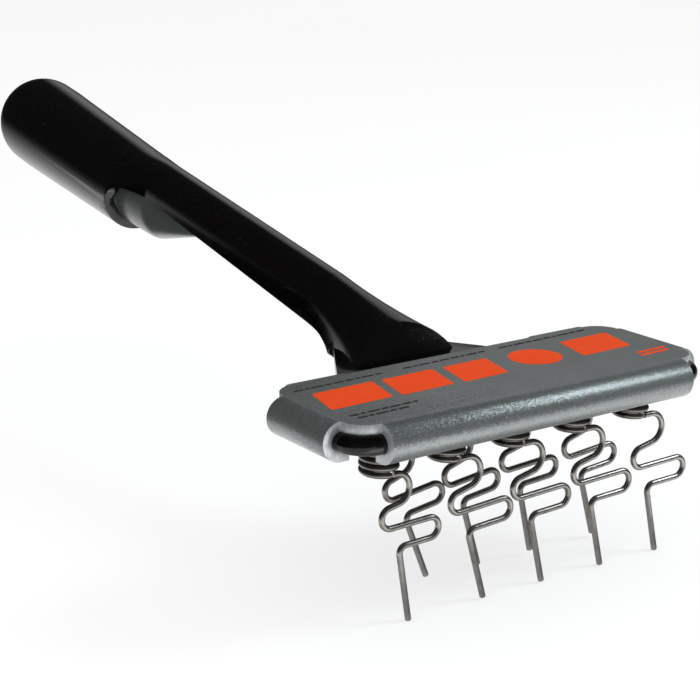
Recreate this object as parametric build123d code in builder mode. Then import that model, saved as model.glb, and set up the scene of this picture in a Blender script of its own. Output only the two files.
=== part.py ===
from build123d import *
import math
import os

os.makedirs("parts", exist_ok=True)

# An undercoat rake: a round-ended handle moulded in one with the plate that carries the tines,
# a sheet-metal cover curled round that plate, and nine tines of spring wire in two rows.
# Millimetres.  Origin: middle of the cover's flat top.  +X along the head, +Y to the handle, +Z up.

# Cover
head_width = 100.0         # X, over the curled ends
head_depth = 41.0          # Y, over the curled long edges
sheet = 2.1                # thickness of the cover's sheet
curl_r = 4.25              # outer radius of the curled edges
corner_relief = 10.0       # from an outer face to the end of the neighbouring curl
lip = 2.0                  # flat part of a curl, under the plate
foot_gap = 26.0            # half width of the gap in the rear curl, where the foot comes out

# Tines
wire = 1.35
pitch = 17.05              # between neighbours in a row
front_count = 5
back_count = 4
row_y = 7.0                # each row's distance from the middle
coil_r = 3.6               # to the wire's centre
coil_pitch = 1.45
coil_turns = 3.5
exit_z = -13.6             # wire centre where the leg leaves the coil
stub = 1.0                 # straight end of the coil, up to the leg
tail = 6.0                 # length of wire laid on top of the plate
tip_z = -46.5

# The leg's bends, in order: straight run, then bend radius and angle (positive turns upwards)
leg_runs = [2.1, 3.7, 10.6, 6.6]
leg_bends = [(3.45, -168.0), (2.35, 170.0), (2.35, -180.0), (1.7, 100.0)]

# Handle: stations are distances along the ridge line from above the origin
tilt = 10.7                # rise of the ridge, degrees
ridge_z = -1.4             # height of the ridge line above the origin
face_y = 31.0              # foot of the end face of the arch over the foot
face_lean = 22.0           # degrees back from upright
arch_station = 27.0        # where the arch is widest, just in front of its end face
arch_half = 15.6
arch_drop = 1.9            # its top lies this far below the ridge line
heel = 43.5                # where the neck's underside drops to the foot
neck_start = 62.0
neck_end = 141.0
rim = 157.0                # front rim of the full-round grip
barrel = 212.0             # thickest place of the grip
grip_end = 232.5
neck_r = 6.9
sleeve_r = 11.6
grip_r = 13.2
grip_drop = 12.3           # ridge to the grip's axis
heel_depth = 11.3          # ridge to the flat underside, at the heel
rim_depth = 8.3            # the same at the rim
heel_r = 14.0              # rounding of the underside at the heel
scoop_r = 7.0              # and at the rim
bore_r = 8.6
bore_depth = 46.0
mouth = 0.3                # the bore starts this far in front of the rim

# Foot
foot_top = -4.0
foot_half = 25.0
foot_waist = 14.5
foot_waist_y = 38.0
foot_tip = 6.5
foot_tip_y = 50.5

# Plug in the grip's mouth, a blunt cone in front, narrower than it is deep
plug_r = 10.0
plug_shoulder_r = 9.2
plug_shoulder = 144.0
plug_bend_r = 10.0         # rounding from the shoulder into the cone
plug_cone = 22.0           # degrees off the axis
plug_tip = 122.0
plug_narrowing = 0.82
spigot = 14.0

clearance = 0.05           # between pieces that sit in each other
shoulder_steps = 4         # sections in the shoulder and in the widening arch
arch_steps = 4

half_w = head_width / 2
half_d = head_depth / 2
flat_w = half_w - curl_r   # where the flat top ends and the curls begin
flat_d = half_d - curl_r
plate_top = -sheet - clearance
plate_bottom = sheet + clearance - 2 * curl_r
plate_edge = (plate_top - plate_bottom) / 2 - clearance
seat_z = exit_z + coil_turns * coil_pitch + wire / 2 + clearance
tail_z = plate_top - wire / 2 - clearance


# ---------------------------------------- head cover

def curl_section():
    """One curled edge, a half round of sheet with a flat lip, open towards +X of the sketch."""
    Circle(curl_r)
    Circle(curl_r - sheet, mode=Mode.SUBTRACT)
    Rectangle(curl_r, 3 * curl_r, align=(Align.MIN, Align.CENTER), mode=Mode.SUBTRACT)
    with Locations((0, -curl_r)):
        Rectangle(lip, sheet, align=(Align.MIN, Align.MIN))


def curl_plane(x, y, inward):
    """Plane across a curl that ends at x, y, with its open side along the inward direction."""
    return Plane(origin=(x, y, -curl_r), x_dir=inward, z_dir=Vector(inward).cross(Vector(0, 0, 1)))


with BuildPart() as head_cover:
    with BuildSketch(Plane.XY.offset(-sheet)):
        RectangleRounded(2 * flat_w, 2 * flat_d, corner_relief - curl_r)
    extrude(amount=sheet)
    with BuildSketch(curl_plane(corner_relief - half_w, -flat_d, (0, 1, 0))):
        curl_section()
    extrude(amount=head_width - 2 * corner_relief)
    for end in (-1, 1):
        with BuildSketch(curl_plane(end * flat_w, end * (corner_relief - half_d), (-end, 0, 0))):
            curl_section()
        extrude(amount=head_depth - 2 * corner_relief)
    for right in (-foot_gap, half_w - corner_relief):
        with BuildSketch(curl_plane(right, flat_d, (0, -1, 0))):
            curl_section()
        extrude(amount=half_w - corner_relief - foot_gap)

head_cover.part.label = "head_cover"
export_step(head_cover.part, "parts/head_cover.step")


# ---------------------------------------- handle, moulded with the tine plate

def row(count, y):
    """Coil centres of one row of tines."""
    return [((i - (count - 1) / 2) * pitch, y) for i in range(count)]


coil_centres = row(front_count, -row_y) + row(back_count, row_y)

along = Vector(0, math.cos(math.radians(tilt)), math.sin(math.radians(tilt)))
outward = Vector(0, -math.sin(math.radians(tilt)), math.cos(math.radians(tilt)))


def ridge_point(s, drop=0.0):
    """Point at station s, drop below the ridge line."""
    return Vector(0, 0, ridge_z) + along * s - outward * drop


def across(s, drop=0.0):
    """Plane across the handle: local X to one side, local Y away from the ridge's underside."""
    return Plane(origin=ridge_point(s, drop), x_dir=(-1, 0, 0), z_dir=along)


def beside(s, drop=0.0):
    """Plane along the handle: local X towards the grip, local Y outwards from the ridge."""
    return Plane(origin=ridge_point(s, drop), x_dir=along, z_dir=(1, 0, 0))


def arch(half, rise, depth):
    """Half round (or half oval) top with straight sides down to a flat bottom."""
    with BuildLine() as outline:
        EllipticalCenterArc((0, -rise), half, rise, 0, arc_size=180)
        Polyline((-half, -rise), (-half, -depth), (half, -depth), (half, -rise))
    make_face(outline.line)


def underside(inset):
    """Side view of all that lies under the neck, from the foot to the grip's rim."""
    heel_top = -heel_depth - inset
    rim_top = -rim_depth - inset
    with BuildLine() as outline:
        RadiusArc((heel + inset, -heel_depth - heel_r), (heel + heel_r, heel_top), heel_r - inset)
        Line((heel + heel_r, heel_top), (rim - scoop_r, rim_top))
        RadiusArc((rim - scoop_r, rim_top), (rim - inset, -rim_depth - scoop_r), scoop_r - inset)
        Polyline((rim - inset, -rim_depth - scoop_r), (rim - inset, -4 * grip_r),
                 (heel + inset, -4 * grip_r), (heel + inset, -heel_depth - heel_r))
    make_face(outline.line)


with BuildPart() as handle:
    # grip, thickest near its round end
    with BuildSketch(beside(0, grip_drop)):
        with BuildLine():
            Line((rim, 0), (rim, sleeve_r))
            Line((rim, sleeve_r), (barrel, grip_r))
            Line((barrel, grip_r), (grip_end - grip_r, grip_r))
            RadiusArc((grip_end - grip_r, grip_r), (grip_end, 0), grip_r)
            Line((grip_end, 0), (rim, 0))
        make_face()
    revolve(axis=Axis(ridge_point(0, grip_drop), along))
    # shoulder from the slim neck out to the grip
    for k in range(shoulder_steps + 1):
        t = k / shoulder_steps
        ease = t * t * (3 - 2 * t)
        half = neck_r + (sleeve_r - neck_r) * ease
        drop = (grip_drop - sleeve_r) * ease
        with BuildSketch(across(neck_end + (rim - neck_end) * t, drop)):
            arch(half, half, 2 * grip_r)
    loft()
    with BuildSketch(across(neck_start)):
        arch(neck_r, neck_r, 2 * grip_r)
    extrude(amount=neck_end - neck_start)
    # the neck widens into the arch over the foot
    for k in range(arch_steps + 1):
        t = k / arch_steps
        half = neck_r + (arch_half - neck_r) * t * t
        with BuildSketch(across(neck_start + (arch_station - neck_start) * t, arch_drop * t)):
            arch(half, neck_r + arch_drop * t, 2 * grip_r)
    loft()
    # the arch ends in a face that leans back
    face_top_y = face_y + (grip_r - foot_top) * math.tan(math.radians(face_lean))
    with BuildSketch(Plane.YZ):
        with BuildLine():
            Polyline((face_y, foot_top), (0, foot_top), (0, grip_r), (face_top_y, grip_r), close=True)
        make_face()
    extrude(amount=2 * grip_r, both=True, mode=Mode.SUBTRACT)
    # the underside is open in front of the rim, and the grip is bored for the plug
    with BuildSketch(beside(0)):
        underside(0)
    extrude(amount=2 * grip_r, both=True, mode=Mode.SUBTRACT)
    with BuildSketch(Plane.XY.offset(plate_bottom)):
        Rectangle(4 * grip_r, 2 * neck_start)
    extrude(amount=-neck_end, mode=Mode.SUBTRACT)
    with BuildSketch(across(rim - mouth, grip_drop)):
        Circle(bore_r)
    extrude(amount=bore_depth, mode=Mode.SUBTRACT)
    # foot
    with BuildSketch(Plane.XY.offset(plate_bottom)):
        with BuildLine():
            ThreePointArc((foot_tip, foot_tip_y), (foot_waist, foot_waist_y), (foot_half, half_d))
            Polyline((foot_half, half_d), (foot_half, 0), (-foot_half, 0), (-foot_half, half_d))
            ThreePointArc((-foot_half, half_d), (-foot_waist, foot_waist_y), (-foot_tip, foot_tip_y))
            Line((-foot_tip, foot_tip_y), (foot_tip, foot_tip_y))
        make_face()
    extrude(amount=foot_top - plate_bottom)
    # the plate that the cover is curled round
    with BuildPart(mode=Mode.PRIVATE) as plate:
        with BuildSketch(Plane.XY.offset(plate_bottom)):
            RectangleRounded(2 * (half_w - sheet - clearance), 2 * (half_d - sheet - clearance),
                             corner_relief - sheet)
        extrude(amount=plate_top - plate_bottom)
        fillet(plate.edges().filter_by(Plane.XY), plate_edge)
    add(plate.part)
    # a seat and a peg for each coil, a hole for its tail and a groove to lay the tail in
    with BuildSketch(Plane.XY.offset(seat_z)):
        with Locations(coil_centres):
            Circle(coil_r + wire)
    extrude(amount=plate_bottom - seat_z)
    with BuildSketch(Plane.XY.offset(exit_z + wire)):
        with Locations(coil_centres):
            Circle(coil_r - wire / 2 - 3 * clearance)
    extrude(amount=seat_z - exit_z - wire)
    tail_holes = [(x, y + coil_r) for x, y in coil_centres]
    with BuildSketch(Plane.XY.offset(plate_top)):
        with Locations(tail_holes):
            Circle(wire / 2 + clearance)
    extrude(amount=seat_z - plate_top, mode=Mode.SUBTRACT)
    with BuildSketch(Plane.XY.offset(plate_top)):
        with Locations([(x + tail / 2, y) for x, y in tail_holes]):
            SlotCenterToCenter(tail, wire + 2 * clearance)
    extrude(amount=-wire - 2 * clearance, mode=Mode.SUBTRACT)

handle.part.label = "handle"
export_step(handle.part, "parts/handle.step")


# ---------------------------------------- plug under the grip

with BuildPart() as grip_plug:
    with BuildSketch(beside(0, grip_drop)):
        with BuildLine():
            Line((rim, 0), (rim, plug_r))
            Line((rim, plug_r), (plug_shoulder, plug_shoulder_r))
            bend = JernArc((plug_shoulder, plug_shoulder_r), (-1, 0), plug_bend_r, plug_cone)
            tip_r = (bend @ 1).Y - ((bend @ 1).X - plug_tip) * math.tan(math.radians(plug_cone))
            Polyline(bend @ 1, (plug_tip, tip_r), (plug_tip, 0), (rim, 0))
        make_face()
    revolve(axis=Axis(ridge_point(0, grip_drop), along))
    scale(by=(plug_narrowing, 1, 1))
    with BuildSketch(beside(0)):
        underside(clearance)
    extrude(amount=2 * grip_r, both=True, mode=Mode.INTERSECT)
    with BuildSketch(across(rim - mouth + clearance, grip_drop)):
        Circle(bore_r - clearance)
    extrude(amount=spigot)

grip_plug.part.label = "grip_plug"
export_step(grip_plug.part, "parts/grip_plug.step")


# ---------------------------------------- tines: a fixed coil and a swinging leg each

coil_top = exit_z + coil_turns * coil_pitch

# close-wound turns, from the straight end at the front up to the back
winding = Location((0, 0, exit_z), (0, 0, -90)) * Helix(
    coil_pitch, coil_turns * coil_pitch, coil_r, lefthand=True)

with BuildPart() as coil:
    with BuildSketch(Plane(origin=winding @ 0, z_dir=winding % 0)):
        Circle(wire / 2)
    sweep(path=winding, is_frenet=True)
    with BuildSketch(Plane(origin=(0, -coil_r, exit_z), z_dir=(1, 0, 0))):
        Circle(wire / 2)
    extrude(amount=stub)
    # the tail goes up through the plate and lies flat on it
    with BuildSketch(Plane.XY.offset(coil_top)):
        with Locations((0, coil_r)):
            Circle(wire / 2)
    extrude(amount=tail_z - coil_top)
    with BuildSketch(Plane(origin=(0, coil_r, tail_z), z_dir=(1, 0, 0))):
        Circle(wire / 2)
    extrude(amount=tail)
    with Locations((0, -coil_r, exit_z), (0, coil_r, coil_top), (0, coil_r, tail_z)):
        Sphere(wire / 2)

with BuildPart() as leg:
    with BuildLine(Plane.XZ.offset(coil_r)) as path:
        here = Line((stub, exit_z), (stub + leg_runs[0], exit_z))
        for run, (radius, angle) in zip(leg_runs[1:], leg_bends[:-1]):
            bend = JernArc(here @ 1, here % 1, radius, angle)
            here = Line(bend @ 1, (bend @ 1) + (bend % 1) * run)
        bend = JernArc(here @ 1, here % 1, leg_bends[-1][0], leg_bends[-1][1])
        pin = bend % 1
        Line(bend @ 1, (bend @ 1) + pin * ((tip_z - (bend @ 1).Z) / pin.Z))
    with BuildSketch(Plane(origin=(stub, -coil_r, exit_z), z_dir=(1, 0, 0))):
        Circle(wire / 2)
    sweep(path=path.line)
    chamfer(leg.faces().sort_by(Axis.Z)[0].edges(), wire / 5)

names = [f"front_{i + 1}" for i in range(front_count)] + [f"back_{i + 1}" for i in range(back_count)]
for name, (x, y) in zip(names, coil_centres):
    for kind, piece in (("coil", coil.part), ("tine", leg.part)):
        copied = piece.moved(Location((x, y, 0)))
        copied.label = f"{kind}_{name}"
        export_step(copied, f"parts/{copied.label}.step")
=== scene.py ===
import math

import bmesh
import bpy
from mathutils import Matrix, Vector


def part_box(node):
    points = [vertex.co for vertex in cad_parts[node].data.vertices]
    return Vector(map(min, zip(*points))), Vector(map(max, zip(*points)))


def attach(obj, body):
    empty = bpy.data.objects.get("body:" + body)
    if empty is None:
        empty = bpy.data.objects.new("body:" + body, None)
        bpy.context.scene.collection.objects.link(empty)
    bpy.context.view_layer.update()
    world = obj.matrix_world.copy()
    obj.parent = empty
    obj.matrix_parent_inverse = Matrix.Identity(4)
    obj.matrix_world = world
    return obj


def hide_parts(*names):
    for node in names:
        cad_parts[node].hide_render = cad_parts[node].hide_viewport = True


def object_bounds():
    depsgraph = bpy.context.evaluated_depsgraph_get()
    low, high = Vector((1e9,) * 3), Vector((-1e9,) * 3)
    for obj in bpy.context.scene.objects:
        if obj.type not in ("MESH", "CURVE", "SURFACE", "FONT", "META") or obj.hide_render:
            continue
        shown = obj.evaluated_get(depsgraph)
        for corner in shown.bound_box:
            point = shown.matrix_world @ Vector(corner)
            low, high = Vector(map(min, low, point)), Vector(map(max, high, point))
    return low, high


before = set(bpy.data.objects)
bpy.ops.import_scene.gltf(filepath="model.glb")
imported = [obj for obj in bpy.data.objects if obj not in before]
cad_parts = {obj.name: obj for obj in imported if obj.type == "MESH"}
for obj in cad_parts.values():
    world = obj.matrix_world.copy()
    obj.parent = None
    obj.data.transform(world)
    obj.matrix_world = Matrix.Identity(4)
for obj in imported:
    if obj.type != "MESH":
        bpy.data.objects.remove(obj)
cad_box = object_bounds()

MM = 0.001


# ---------------------------------------------------------------- node helpers

class Shader:
    """One material and the few calls that its node tree needs."""

    def __init__(self, name, base, metallic=0.0, roughness=0.4):
        self.material = bpy.data.materials.new(name)
        self.material.use_nodes = True
        self.tree = self.material.node_tree
        self.surface = self.tree.nodes["Principled BSDF"]
        self.set("Base Color", (*base, 1.0))
        self.set("Metallic", metallic)
        self.set("Roughness", roughness)
        self.place = self.node("ShaderNodeTexCoord").outputs["Object"]

    def set(self, name, value):
        """Gives the surface a value, or the socket that drives it."""
        self.feed(self.surface.inputs[name], value)

    def feed(self, socket, value):
        if isinstance(value, bpy.types.NodeSocket):
            self.tree.links.new(value, socket)
        else:
            socket.default_value = value

    def node(self, kind, inputs=None, **settings):
        made = self.tree.nodes.new(kind)
        for name, value in settings.items():
            setattr(made, name, value)
        for name, value in (inputs or {}).items():
            self.feed(made.inputs[name], value)
        return made

    def math(self, operation, a, b=0.0, c=0.0):
        return self.node("ShaderNodeMath", {0: a, 1: b, 2: c}, operation=operation).outputs[0]

    def stretched(self, scale, turn=(0.0, 0.0, 0.0), source=None):
        """Coordinates scaled differently along each axis, the object's in cells per metre."""
        return self.node("ShaderNodeMapping", {"Vector": source or self.place, "Rotation": turn,
                                               "Scale": scale}).outputs[0]

    def noise(self, scale, detail=3.0, roughness=0.5, source=None):
        """Noise in cells per metre, or of scale 1 on stretched coordinates."""
        made = self.node("ShaderNodeTexNoise", {"Vector": source or self.place, "Scale": scale,
                                                "Detail": detail, "Roughness": roughness})
        return made.outputs[0]

    def span(self, value, low, high, to_low, to_high):
        """value from low..high to to_low..to_high, clamped."""
        return self.node("ShaderNodeMapRange", {0: value, 1: low, 2: high, 3: to_low,
                                                4: to_high}).outputs[0]

    def level(self, noise, to_low, to_high):
        """Most of a noise's range to to_low..to_high."""
        return self.span(noise, 0.3, 0.7, to_low, to_high)

    def peaks(self, noise, start, full, most):
        """Only a noise's peaks: 0 under start, and most over full."""
        return self.span(noise, start, full, 0.0, most)

    def mix(self, share, a, b):
        """Colour a, or b where share is 1."""
        made = self.node("ShaderNodeMix", data_type="RGBA")
        for index, value in ((0, share), (6, a), (7, b)):
            if isinstance(value, tuple):
                value = (*value, 1.0)
            self.feed(made.inputs[index], value)
        return made.outputs[2]

    def bump(self, height, distance, strength=1.0, normal=None):
        made = self.node("ShaderNodeBump", {"Height": height, "Distance": distance,
                                            "Strength": strength})
        if normal is not None:
            self.feed(made.inputs["Normal"], normal)
        return made.outputs[0]


# ---------------------------------------------------------------- materials

PAINTED_SHADE_HEIGHTS = (-0.028, -0.014)         # heights between which the wire darkens under the head, a painted shade
PINS = (-0.030, -0.034)              # heights between which it turns rougher, on the pins


def gloss_plastic(name, base, worn, gloss, mirror):
    """Polished black moulding: faint waviness, fine handling scratches, a little dust.

    gloss is its least roughness, and mirror its specular level.
    """
    s = Shader(name, base)
    hairlines = s.noise(1.0, 2.0, source=s.stretched((2600.0, 90.0, 2600.0), (0.3, 0.0, 0.12)))
    crossed = s.noise(1.0, 2.0, source=s.stretched((160.0, 1900.0, 1500.0), (0.0, 0.2, 0.7)))
    scratch = s.math("MAXIMUM", s.peaks(hairlines, 0.66, 0.74, 1.0),
                     s.peaks(crossed, 0.69, 0.76, 1.0))
    dust = s.peaks(s.noise(1500.0, 1.0), 0.81, 0.85, 0.3)
    pale = s.math("MAXIMUM", dust, s.math("MULTIPLY", scratch, 0.25))
    s.set("Base Color", s.mix(pale, base, worn))
    rough = s.level(s.noise(45.0, 4.0), gloss, gloss + 0.05)
    s.set("Roughness", s.math("ADD", rough, s.math("MULTIPLY", scratch, 0.16)))
    waves = s.bump(s.noise(130.0, 2.0), 0.02 * MM, 0.6)
    s.set("Normal", s.bump(s.math("SUBTRACT", 1.0, scratch), 0.004 * MM, 0.5, waves))
    s.set("Specular IOR Level", mirror)
    return s.material


def metallic_paint():
    """Grey paint, satin, with aluminium flakes that each lie a little askew, and pale specks."""
    s = Shader("cover_paint", (0.20, 0.212, 0.212), 0.7, 0.44)
    flakes = s.node("ShaderNodeTexVoronoi", {"Vector": s.place, "Scale": 5200.0})
    colour = flakes.outputs["Color"]
    askew = s.node("ShaderNodeVectorMath", {0: colour, 1: (0.5, 0.5, 0.5)}, operation="SUBTRACT")
    facing = s.node("ShaderNodeNewGeometry").outputs["Normal"]
    turned = s.node("ShaderNodeVectorMath", {0: askew.outputs[0], 1: (0.2, 0.2, 0.2), 2: facing},
                    operation="MULTIPLY_ADD")
    normal = s.node("ShaderNodeVectorMath", {0: turned.outputs[0]}, operation="NORMALIZE")
    s.set("Normal", s.bump(s.noise(260.0, 2.0), 0.01 * MM, 0.5, normal.outputs[0]))
    shade = s.node("ShaderNodeSeparateColor", {0: colour}).outputs[0]
    grey = s.mix(shade, (0.145, 0.158, 0.157), (0.25, 0.265, 0.263))
    cloud = s.noise(70.0, 4.0)
    mottled = s.mix(s.peaks(cloud, 0.3, 0.75, 0.35), grey, (0.18, 0.19, 0.192))
    specks = s.peaks(s.noise(620.0, 1.0), 0.80, 0.83, 0.8)
    s.set("Base Color", s.mix(specks, mottled, (0.65, 0.65, 0.65)))
    s.set("Roughness", s.span(cloud, 0.25, 0.75, 0.33, 0.41))
    return s.material


def bare_aluminium():
    """Cut sheet edge: bright, finely torn across the thickness."""
    s = Shader("cover_cut_edge", (0.5, 0.53, 0.55), 0.6, 0.32)
    torn = s.noise(1.0, 3.0, source=s.stretched((2400.0, 2400.0, 500.0)))
    s.set("Base Color", s.mix(s.peaks(torn, 0.35, 0.7, 0.7), (0.43, 0.45, 0.465),
                              (0.30, 0.32, 0.33)))
    s.set("Roughness", s.level(torn, 0.24, 0.40))
    s.set("Normal", s.bump(torn, 0.03 * MM, 0.7))
    return s.material


def ink(name, base, faded):
    """Screen-printed ink: matt, slightly uneven cover, pinholes and scuffs."""
    s = Shader(name, base, 0.0, 0.5)
    grain = s.noise(1800.0, 2.0)
    cloud = s.noise(110.0, 4.0)
    scuff = s.noise(1.0, 3.0, source=s.stretched((120.0, 1500.0, 400.0), (0.0, 0.0, 0.5)))
    worn = s.math("MAXIMUM", s.peaks(grain, 0.74, 0.8, 0.8), s.peaks(scuff, 0.72, 0.78, 0.6))
    shade = s.mix(s.level(cloud, 0.0, 0.4), base, faded)
    s.set("Base Color", s.mix(worn, shade, (0.30, 0.31, 0.32)))
    s.set("Roughness", s.level(cloud, 0.50, 0.62))
    s.set("Specular IOR Level", 0.07)
    s.set("Normal", s.bump(grain, 0.01 * MM, 0.4))
    return s.material


def spring_steel(name, tone, drawn):
    """Drawn wire: streaks along drawn, warm grey stains, painted shade under the head, rough on the
    pins.

    tone is how bright it is, and drawn makes the coordinates that the streaks follow.
    """
    s = Shader(name, (0.62, 0.60, 0.56), 1.0, 0.12)
    streaks = s.noise(1.0, 3.0, source=drawn(s))
    dull, shiny = (tuple(tone * part for part in grey)
                   for grey in ((0.36, 0.345, 0.32), (0.64, 0.62, 0.59)))
    bright = s.mix(s.level(streaks, 0.0, 1.0), dull, shiny)
    stained = s.mix(s.peaks(s.noise(330.0, 4.0), 0.52, 0.72, 0.55), bright, (0.15, 0.13, 0.11))
    height = s.node("ShaderNodeSeparateXYZ", {0: s.place}).outputs[2]
    # painted shade: the wire turns darker towards the head, as if it mirrored the head's dark
    # underside
    s.set("Base Color", s.mix(s.span(height, *PAINTED_SHADE_HEIGHTS, 0.0, 0.45), stained, (0.10, 0.09, 0.08)))
    extra = s.math("MULTIPLY", s.span(height, *PINS, 0.0, 1.0), 0.05)
    s.set("Roughness", s.math("ADD", s.level(streaks, 0.25, 0.32), extra))
    s.set("Normal", s.bump(streaks, 0.006 * MM, 0.6))
    return s.material


def along_wire(s):
    """Streaks that run along a leg's UV map."""
    wire = s.node("ShaderNodeUVMap", uv_map="wire").outputs[0]
    return s.stretched((22.0, 25.0, 1.0), source=wire)


def round_coil(s):
    """Streaks that lie level, as the turns of a coil do."""
    return s.stretched((500.0, 500.0, 5200.0))


MATERIALS = {
    "handle": gloss_plastic("handle_plastic_look", (0.0018, 0.0014, 0.0013), (0.03, 0.03, 0.03),
                            0.10, 0.36),
    "plug": gloss_plastic("plug_plastic_look", (0.036, 0.042, 0.039), (0.08, 0.08, 0.08),
                          0.24, 0.5),
    "paint": metallic_paint(),
    "bare": bare_aluminium(),
    "orange": ink("print_orange", (0.70, 0.052, 0.001), (0.61, 0.048, 0.002)),
    "black": ink("print_black", (0.020, 0.020, 0.021), (0.035, 0.035, 0.036)),
    "steel": spring_steel("spring_steel", 0.74, along_wire),
    # painted shade: the coils get a darker copy of the steel (tone 0.42 against 0.74), for their
    # place under the head
    "wound": spring_steel("spring_steel_wound", 0.42, round_coil),
}


# ---------------------------------------------------------------- pieces made from CAD solids

WELD = 0.001 * MM          # vertices nearer than this are one
COPLANAR = 0.4             # faces that meet at fewer degrees are merged
SHARP = 28.0               # edges of more degrees are rounded off
ROUNDING_SEGMENTS = 3
AS_NEIGHBOURS = -1         # a rounded edge takes the material beside it
PAINTED, CUT = 0, 1        # material indices on the cover
CORNER = 10.5 * MM         # how far in from a corner of the cover its edges are cut
SIDE_SKIN = 0.05 * MM      # a face this near the cover's outermost plane is its painted side
UPRIGHT = 0.05             # most that an upright face's normal rises,
SQUARE = 0.99              # and least along X or Y for one across a curl's end,
SQUARE_RISE = 0.02         # which rises less
HANDLE_ROUNDING, PLUG_ROUNDING, COVER_ROUNDING = 0.35 * MM, 0.3 * MM, 0.3 * MM


def new_piece(name, mesh, body, slot, *materials):
    piece = bpy.data.objects.new(name, mesh)
    bpy.context.scene.collection.objects.link(piece)
    for material in materials:
        mesh.materials.append(MATERIALS[material])
    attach(piece, body)
    return piece


def softened(name, node, slot, materials, width, paint=None, edge=AS_NEIGHBOURS):
    """A copy of a CAD node of the rake's body, its seams welded and its sharp edges rounded off."""
    shape = bmesh.new()
    shape.from_mesh(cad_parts[node].data)
    bmesh.ops.remove_doubles(shape, verts=shape.verts, dist=WELD)
    bmesh.ops.dissolve_limit(shape, angle_limit=math.radians(COPLANAR), verts=shape.verts,
                             edges=shape.edges)
    for face in shape.faces:
        face.smooth = True
        face.material_index = paint(face) if paint else 0
    mesh = bpy.data.meshes.new(name)
    shape.to_mesh(mesh)
    shape.free()
    piece = new_piece(name, mesh, "rake", slot, *materials)
    rounding = piece.modifiers.new("rounding", "BEVEL")
    rounding.width = width
    rounding.segments = ROUNDING_SEGMENTS
    rounding.limit_method = "ANGLE"
    rounding.angle_limit = math.radians(SHARP)
    rounding.harden_normals = True
    rounding.use_clamp_overlap = True
    rounding.material = edge
    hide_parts(node)


def cover_material(face):
    """CUT on the upright faces round the cover's corners and across the ends of its curls."""
    n = face.normal
    c = face.calc_center_median()
    in_corner = abs(c.x) > cover_high.x - CORNER and abs(c.y) > cover_high.y - CORNER
    curl_end = max(abs(n.x), abs(n.y)) > SQUARE and abs(n.z) < SQUARE_RISE
    on_side = cover_high.x - abs(c.x) < SIDE_SKIN or cover_high.y - abs(c.y) < SIDE_SKIN
    return CUT if (in_corner or curl_end) and abs(n.z) < UPRIGHT and not on_side else PAINTED


cover_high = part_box("head_cover")[1]
softened("handle_moulding", "handle", "handle_plastic", ["handle"], HANDLE_ROUNDING)
softened("grip_plug_moulding", "grip_plug", "plug_plastic", ["plug"], PLUG_ROUNDING)
softened("head_cover_sheet", "head_cover", "cover_sheet", ["paint", "bare"], COVER_ROUNDING,
         paint=cover_material, edge=CUT)
for node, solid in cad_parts.items():
    if node.startswith("coil_"):
        solid.data.materials[0] = MATERIALS["wound"]


# ---------------------------------------------------------------- tines

WIRE_R = 0.675 * MM
STUB = 1.0 * MM            # straight end of the coil, where the leg starts
COIL_R = 3.6 * MM
LEG_EXIT = -13.6 * MM
TIP = -46.5 * MM
RUNS = (2.1, 3.7, 10.6, 6.6)                       # straight runs between the bends, mm
BENDS = ((3.45, -168.0), (2.35, 170.0), (2.35, -180.0), (1.7, 100.0))     # radius mm, angle

TIP_CHAMFER = 0.22 * MM
TIP_RINGS = ((TIP_CHAMFER * 0.6, 0.86), (TIP_CHAMFER, 0.62))     # how far out, share of radius
AROUND = 20                # sides of a wire
RUN_STEPS = 6              # rings along a straight run
PIN_STEPS = 12             # rings along a pin
BEND_STEP = 7.0            # degrees between the rings of a bend, which has BEND_LEAST or more
BEND_LEAST = 6
UV_LENGTH = 50 * MM        # length of wire to one unit of its UV map

# How each wire differs from the nominal one: degrees that its loops lean to +X,
# degrees that its pin leans further, share of the nominal loop size, mm cut off the pin, and
# mm that each straight run is longer
HABITS = {
    "front_1": (0.0, -3.5, 0.965, 0.0, (-1.3, -1.0, -0.5, -0.2)),
    "front_2": (1.5, 1.5, 0.965, 0.4, (0.0, 0.0, 1.0, 1.0)),
    "front_3": (0.5, 0.0, 0.985, 0.3, (-0.3, 0.0, 0.3, 0.0)),
    "front_4": (0.0, 0.5, 0.995, 0.2, (-0.4, 0.0, 0.9, 0.5)),
    "front_5": (-0.5, 0.0, 0.99, 0.0, (0.0, 0.0, 0.0, 0.3)),
    "back_1": (6.0, 3.0, 0.95, 1.6, (1.2, 0.0, 0.2, 0.0)),
    "back_2": (5.0, -1.0, 0.94, 1.0, (0.0, 0.0, 0.0, 0.0)),
    "back_3": (1.5, -1.5, 0.93, 1.0, (-0.9, 0.0, 1.3, 0.6)),
    "back_4": (3.0, 0.0, 0.96, 1.0, (0.0, 0.0, 0.2, 0.0)),
}


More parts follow.
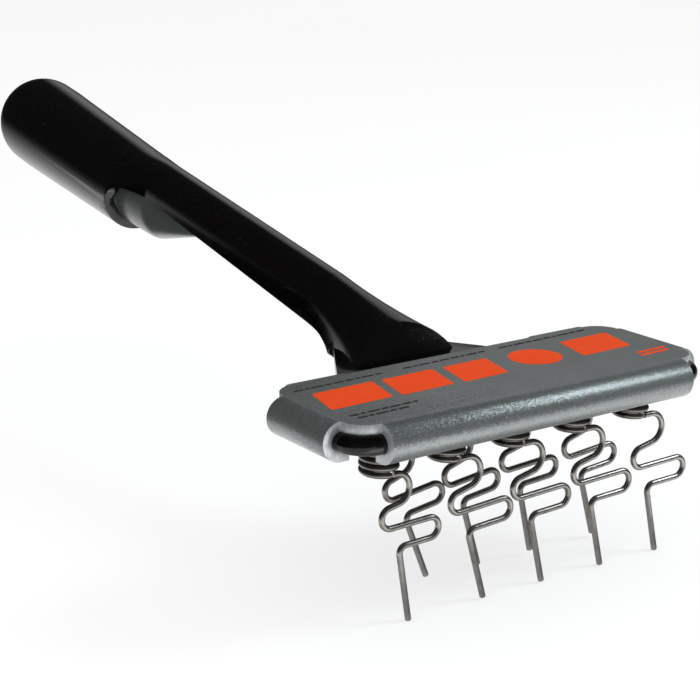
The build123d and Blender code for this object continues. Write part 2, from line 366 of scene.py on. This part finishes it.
def leg_line(lean, pin_lean, size, cut, longer):
    """Centre line of a leg in its own plane, as x, z pairs: serpentine loops and then the pin."""
    place, heading = Vector((STUB, 0.0)), 0.0
    line = [place.copy()]
    turns = list(BENDS)
    turns[0] = (turns[0][0], turns[0][1] + lean)
    turns[-1] = (turns[-1][0], turns[-1][1] + pin_lean)
    for run, extra, (radius, angle) in zip(RUNS, longer, turns):
        forward = Vector((math.cos(heading), math.sin(heading)))
        for k in range(1, RUN_STEPS + 1):
            line.append(place + forward * ((run * size + extra) * MM * k / RUN_STEPS))
        place = line[-1].copy()
        side = math.copysign(1.0, angle)
        centre = place + Vector((-forward.y, forward.x)) * (side * radius * size * MM)
        arm = place - centre
        steps = max(BEND_LEAST, round(abs(angle) / BEND_STEP))
        for k in range(1, steps + 1):
            turn = math.radians(angle) * k / steps
            line.append(centre + Vector((arm.x * math.cos(turn) - arm.y * math.sin(turn),
                                         arm.x * math.sin(turn) + arm.y * math.cos(turn))))
        place = line[-1].copy()
        heading += math.radians(angle)
    forward = Vector((math.cos(heading), math.sin(heading)))
    length = (TIP + TIP_CHAMFER + cut * MM - LEG_EXIT - place.y) / forward.y
    for k in range(1, PIN_STEPS + 1):
        line.append(place + forward * (length * k / PIN_STEPS))
    return line


def wire_mesh(name, points):
    """A tube along points, with a chamfered far end, and a UV map that runs along the wire."""
    shape = bmesh.new()
    uv = shape.loops.layers.uv.new("wire")
    tangents = [(points[min(i + 1, len(points) - 1)] - points[max(i - 1, 0)]).normalized()
                for i in range(len(points))]
    across = Vector((0.0, 1.0, 0.0))
    rings, lengths, run = [], [], 0.0
    for i, (point, tangent) in enumerate(zip(points, tangents)):
        across = (across - tangent * across.dot(tangent)).normalized()
        other = tangent.cross(across)
        if i:
            run += (point - points[i - 1]).length
        lengths.append(run)
        rings.append([shape.verts.new(point + (across * math.cos(a) + other * math.sin(a)) * WIRE_R)
                      for a in (2 * math.pi * k / AROUND for k in range(AROUND))])
    last, tangent, end_ring = points[-1], tangents[-1], rings[-1]
    for out, share in TIP_RINGS:
        rings.append([shape.verts.new(last + tangent * out + (v.co - last) * share)
                      for v in end_ring])
        lengths.append(run + out)
    for i in range(len(rings) - 1):
        for k in range(AROUND):
            n = (k + 1) % AROUND
            face = shape.faces.new((rings[i][k], rings[i][n], rings[i + 1][n], rings[i + 1][k]))
            face.smooth = True
            for loop, (u, v) in zip(face.loops, ((k, i), (k + 1, i), (k + 1, i + 1), (k, i + 1))):
                loop[uv].uv = (u / AROUND, lengths[v] / UV_LENGTH)
    shape.faces.new(list(reversed(rings[0])))
    shape.faces.new(rings[-1])
    bmesh.ops.recalc_face_normals(shape, faces=shape.faces)
    mesh = bpy.data.meshes.new(name)
    shape.to_mesh(mesh)
    shape.free()
    return mesh


def tines():
    """A leg for each tine, on the body that swings it. It starts where its CAD coil ends."""
    for name, habit in HABITS.items():
        coil_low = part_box("coil_" + name)[0]
        middle_x = coil_low.x + COIL_R + WIRE_R
        front_y = coil_low.y + WIRE_R
        points = [Vector((middle_x + p.x, front_y, LEG_EXIT + p.y)) for p in leg_line(*habit)]
        piece = new_piece("wire_leg_" + name, wire_mesh("wire_leg_" + name, points),
                          "tine_" + name, "tine_wire", "steel")
        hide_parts("tine_" + name)


tines()


# ---------------------------------------------------------------- print on the cover, in mm

PRINT_THICKNESS = 0.02     # above the cover's top, and as far into it
PRINT_TURN = 1.7           # degrees that the print is askew
PRINT_PIVOT = (-43.0, 11.0)
CORNER_STEPS = (0.0, 0.25, 0.5, 0.75, 1.0)
DISC_POINTS = 40

BARS = ((-43.5, -3.4, 15.5), (-25.8, -3.8, 13.6), (-9.6, -4.2, 12.0), (24.0, -4.4, 14.0))
BAR_DEPTH, BAR_SLANT, BAR_CORNER = 11.4, 3.0, 0.8
DISC = (14.8, 1.4, 6.0)
SMALL_BARS = ((34.6, -10.3), (33.9, -12.2))
SMALL_WIDTH, SMALL_DEPTH, SMALL_SLANT, SMALL_CORNER = 8.4, 1.1, 0.3, 0.3
DASH_WIDTHS = (2.3, 1.2, 3.1, 1.7, 2.6)
DASH_GAP, DASH_SLANT, DASH_CORNER = 0.45, 0.1, 0.1
RULE_LINES = ((-42.5, 11.2, -21.0), (-14.0, 11.2, 9.0), (13.0, 11.2, 37.0))
NOTE_LINES = ((-43.0, -9.2, -27.0), (-42.4, -11.2, -31.0))
RULE_HEIGHT, NOTE_HEIGHT = 0.8, 0.9


def askew(outline):
    """The outline as it sits on the cover, turned with the rest of the print."""
    turn = math.radians(PRINT_TURN)
    pivot_x, pivot_y = PRINT_PIVOT
    return [(pivot_x + (x - pivot_x) * math.cos(turn) - (y - pivot_y) * math.sin(turn),
             pivot_y + (x - pivot_x) * math.sin(turn) + (y - pivot_y) * math.cos(turn))
            for x, y in outline]


def slab(x, y, width, depth, slant, corner):
    """A bar with rounded corners, its far edge moved by slant."""
    corners = [(x, y), (x + width, y), (x + width + slant, y + depth), (x + slant, y + depth)]
    outline = []
    for i, (cx, cy) in enumerate(corners):
        here = Vector((cx, cy))
        back = (Vector(corners[i - 1]) - here).normalized() * corner
        ahead = (Vector(corners[(i + 1) % 4]) - here).normalized() * corner
        for t in CORNER_STEPS:
            outline.append(here + back * (1 - t) ** 2 + ahead * t ** 2)
    return [tuple(p) for p in outline]


def disc(x, y, radius):
    return [(x + radius * math.cos(a), y + radius * math.sin(a))
            for a in (2 * math.pi * k / DISC_POINTS for k in range(DISC_POINTS))]


def dashes(lines, height):
    """Lines of short dashes of changing length, from x to end, in place of small print."""
    made = []
    for x, y, end in lines:
        k = 0
        while x < end:
            width = DASH_WIDTHS[k % len(DASH_WIDTHS)]
            made.append(slab(x, y, width, height, DASH_SLANT, DASH_CORNER))
            x += width + DASH_GAP
            k += 1
    return made


def printed(name, outlines, material):
    """Ink areas on the cover's top, each a closed outline of x, y points."""
    shape = bmesh.new()
    for outline in outlines:
        base, top = ([shape.verts.new((x * MM, y * MM, z * MM)) for x, y in askew(outline)]
                     for z in (-PRINT_THICKNESS, PRINT_THICKNESS))
        shape.faces.new(list(reversed(base)))
        shape.faces.new(top)
        for i in range(len(base)):
            k = (i + 1) % len(base)
            shape.faces.new((base[i], base[k], top[k], top[i]))
    bmesh.ops.recalc_face_normals(shape, faces=shape.faces)
    mesh = bpy.data.meshes.new(name)
    shape.to_mesh(mesh)
    shape.free()
    new_piece(name, mesh, "rake", "cover_sheet", material)


bars = [slab(*bar, BAR_DEPTH, BAR_SLANT, BAR_CORNER) for bar in BARS]
small_bars = [slab(*bar, SMALL_WIDTH, SMALL_DEPTH, SMALL_SLANT, SMALL_CORNER)
              for bar in SMALL_BARS]
printed("print_bars", bars + [disc(*DISC)], "orange")
printed("print_small_bars", small_bars, "orange")
printed("print_rule", dashes(RULE_LINES, RULE_HEIGHT), "black")
printed("print_notes", dashes(NOTE_LINES, NOTE_HEIGHT), "black")


# ---------------------------------------------------------------- studio

FLOOR_HALF = 3.0           # half the floor's side, metres
HEAD_ELLIPSE = (14.3, 29.4, 0.0)     # one over its half axes, per metre
UNDER_HEAD = 0.28          # what is left of the floor's brightness under the head
CARD_GAIN = 0.6            # how much brighter the white card is than the floor
SEEN_ABOVE, SEEN_FLAT = 2.05, 0.1    # floor mirrored from above, and at a grazing angle
LEFT_LEVEL = 1.2           # the evenly lit part at the head's left end
CAMERA_WHITE = 1.04        # even white in what the camera sees of the floor,
CAMERA_SHARE = 0.62        # and its share against the real, shadowed surface

ROOM_LEVEL = 0.025         # least light that anything mirrors
SOFT_LEVEL = 0.92          # soft light all round

RIGHT_BOX = dict(place=(0.60, -0.30, 0.54), target=(0.0, 0.0, 0.0), size=(0.30, 0.32),
                 power=3.1, colour=(0.85, 0.96, 1.0))
LEFT_FILL = dict(place=(-0.8, -0.3, 0.4), target=(0.0, 0.05, 0.0), size=(0.5, 0.5),
                 power=1.5, colour=(1.0, 1.0, 1.0))


def area_light(name, place, target, size, power, colour):
    """A rectangular light at place that points at target, in metres and watts."""
    light = bpy.data.lights.new(name, "AREA")
    light.shape = "RECTANGLE"
    light.size, light.size_y = size
    light.energy = power
    light.color = colour
    lamp = bpy.data.objects.new(name, light)
    lamp.location = place
    lamp.rotation_mode = "QUATERNION"
    lamp.rotation_quaternion = (Vector(target) - Vector(place)).to_track_quat("-Z", "Y")
    bpy.context.scene.collection.objects.link(lamp)
    return lamp


def floor_look():
    """Pale and even. What the object mirrors of it is set apart, as a studio's cards would."""
    s = Shader("studio_floor", (0.92, 0.92, 0.92), 0.0, 0.7)
    s.set("Base Color", s.mix(s.level(s.noise(4.0), 0.0, 1.0), (0.91, 0.91, 0.91),
                              (0.93, 0.93, 0.93)))
    x, y, _ = s.node("ShaderNodeSeparateXYZ", {0: s.place}).outputs

    def above(value, start, full):
        """0 where value is under start, and 1 where it is over full."""
        return s.span(value, start, full, 0.0, 1.0)

    def below(value, full, end):
        return s.span(value, full, end, 1.0, 0.0)

    def both(a, b):
        return s.math("MULTIPLY", a, b)

    # a dark flag beside the neck and beyond the grip
    inner_side = s.math("SUBTRACT", x, s.span(y, 0.20, 0.30, 0.0, -0.09))
    outer_side = s.math("MULTIPLY_ADD", x, 1.05, y)
    beside = both(below(inner_side, -0.02, 0.02), above(y, 0.12, 0.16))
    far = both(below(x, -0.21, -0.17), above(y, -0.14, -0.08))
    flag = both(below(outer_side, 0.17, 0.20), s.math("MAXIMUM", beside, far))

    # dim in an ellipse under the head, and a white card in front of the head
    spread = s.node("ShaderNodeVectorMath", {0: s.stretched(HEAD_ELLIPSE)},
                    operation="LENGTH").outputs["Value"]
    card = both(below(y, -0.060, -0.045), above(y, -0.20, -0.14))
    shaded = both(s.span(spread, 0.8, 1.25, UNDER_HEAD, 1.0), s.math("SUBTRACT", 1.0, flag))
    shaded = both(shaded, s.math("MULTIPLY_ADD", card, CARD_GAIN, 1.0))

    # bright from above, dim at a grazing angle, but evenly lit beside the head's left end
    grazing = s.node("ShaderNodeLayerWeight", {"Blend": 0.5}).outputs["Facing"]
    level = both(s.span(grazing, 0.35, 0.92, SEEN_ABOVE, SEEN_FLAT), shaded)
    left = both(both(below(x, -0.070, -0.055), above(x, -0.20, -0.16)), below(y, 0.12, 0.15))
    level = s.math("ADD", both(level, s.math("SUBTRACT", 1.0, left)), both(left, LEFT_LEVEL))

    paths = s.node("ShaderNodeLightPath").outputs
    white = s.node("ShaderNodeEmission", {"Strength": CAMERA_WHITE}).outputs[0]
    evened = both(paths["Is Camera Ray"], CAMERA_SHARE)
    pale = s.node("ShaderNodeMixShader", {0: evened, 1: s.surface.outputs[0], 2: white}).outputs[0]
    table = s.node("ShaderNodeEmission", {"Strength": level}).outputs[0]
    mixed = s.node("ShaderNodeMixShader", {0: paths["Is Glossy Ray"], 1: pale, 2: table})
    s.tree.links.new(mixed.outputs[0], s.tree.nodes["Material Output"].inputs[0])
    return s.material


def pale_floor():
    """A flat floor at the tines' tips."""
    mesh = bpy.data.meshes.new("studio_floor")
    shape = bmesh.new()
    bmesh.ops.create_grid(shape, x_segments=1, y_segments=1, size=FLOOR_HALF)
    shape.to_mesh(mesh)
    shape.free()
    mesh.materials.append(floor_look())
    floor = bpy.data.objects.new("studio_floor", mesh)
    floor.location.z = cad_box[0].z
    bpy.context.scene.collection.objects.link(floor)


def studio_world():
    """White for the camera and for soft light; in reflections a dark room.

    Its pale wall at the back right and faint glow low in front are what the object mirrors.
    """
    world = bpy.data.worlds.new("studio")
    bpy.context.scene.world = world
    world.use_nodes = True
    tree = world.node_tree
    background = tree.nodes["Background"]
    background.inputs["Strength"].default_value = 1.0

    def add(kind, *inputs, operation=None):
        made = tree.nodes.new(kind)
        if operation:
            made.operation = operation
        for socket, value in zip(made.inputs, inputs):
            if isinstance(value, bpy.types.NodeSocket):
                tree.links.new(value, socket)
            else:
                socket.default_value = value
        return made

    def step(value, start, end, low, high):
        return add("ShaderNodeMapRange", value, start, end, low, high).outputs[0]

    def times(a, b):
        return add("ShaderNodeMath", a, b, operation="MULTIPLY").outputs[0]

    def plus(a, b):
        return add("ShaderNodeMath", a, b, operation="ADD").outputs[0]

    # a direction's three parts run from -1 to 1
    toward = add("ShaderNodeTexCoord").outputs["Generated"]
    right, back, height = add("ShaderNodeSeparateXYZ", toward).outputs
    wall = times(times(step(right, 0.40, 0.52, 0.0, 1.0), step(back, 0.45, 0.60, 0.0, 0.5)),
                 times(step(height, 0.05, 0.30, 0.15, 1.0), step(height, 0.54, 0.62, 1.0, 0.0)))
    front = times(step(back, -0.5, 0.0, 0.08, 0.0), step(height, 0.30, 0.60, 1.0, 0.2))
    room = plus(plus(wall, front), ROOM_LEVEL)
    paths = add("ShaderNodeLightPath").outputs
    mirrored = paths["Is Glossy Ray"]
    soft = step(paths["Is Camera Ray"], 0.0, 1.0, SOFT_LEVEL, 1.0)
    total = plus(times(room, mirrored), times(soft, step(mirrored, 0.0, 1.0, 1.0, 0.0)))
    tree.links.new(total, background.inputs["Color"])


pale_floor()
studio_world()
area_light("right_box", **RIGHT_BOX)
area_light("left_fill", **LEFT_FILL).visible_glossy = False
bpy.context.scene.view_settings.view_transform = "Standard"


# ---------------------------------------------------------------- camera

AZIMUTH, ELEVATION, ROLL = math.radians(-32.69), math.radians(16.08), math.radians(-0.8)
CAMERA_PLACE = (-0.23964, -0.29813, 0.11193)
FOCAL_LENGTH, SENSOR_WIDTH = 95.25, 36.0           # mm
SHIFT_X, SHIFT_Y = 0.0714, 0.0193
CLIP = (0.01, 20.0)


def camera():
    """The main view, with its place in metres."""
    back = Vector((math.sin(AZIMUTH) * math.cos(ELEVATION),
                   -math.cos(AZIMUTH) * math.cos(ELEVATION), math.sin(ELEVATION)))
    lens = bpy.data.cameras.new("camera")
    lens.sensor_width = SENSOR_WIDTH
    lens.lens = FOCAL_LENGTH
    lens.shift_x, lens.shift_y = SHIFT_X, SHIFT_Y
    lens.clip_start, lens.clip_end = CLIP
    made = bpy.data.objects.new("camera", lens)
    made.rotation_mode = "QUATERNION"
    made.rotation_quaternion = (Matrix.Rotation(ROLL, 3, back).to_quaternion()
                                @ (-back).to_track_quat("-Z", "Y"))
    made.location = CAMERA_PLACE
    bpy.context.scene.collection.objects.link(made)
    bpy.context.scene.camera = made


camera()
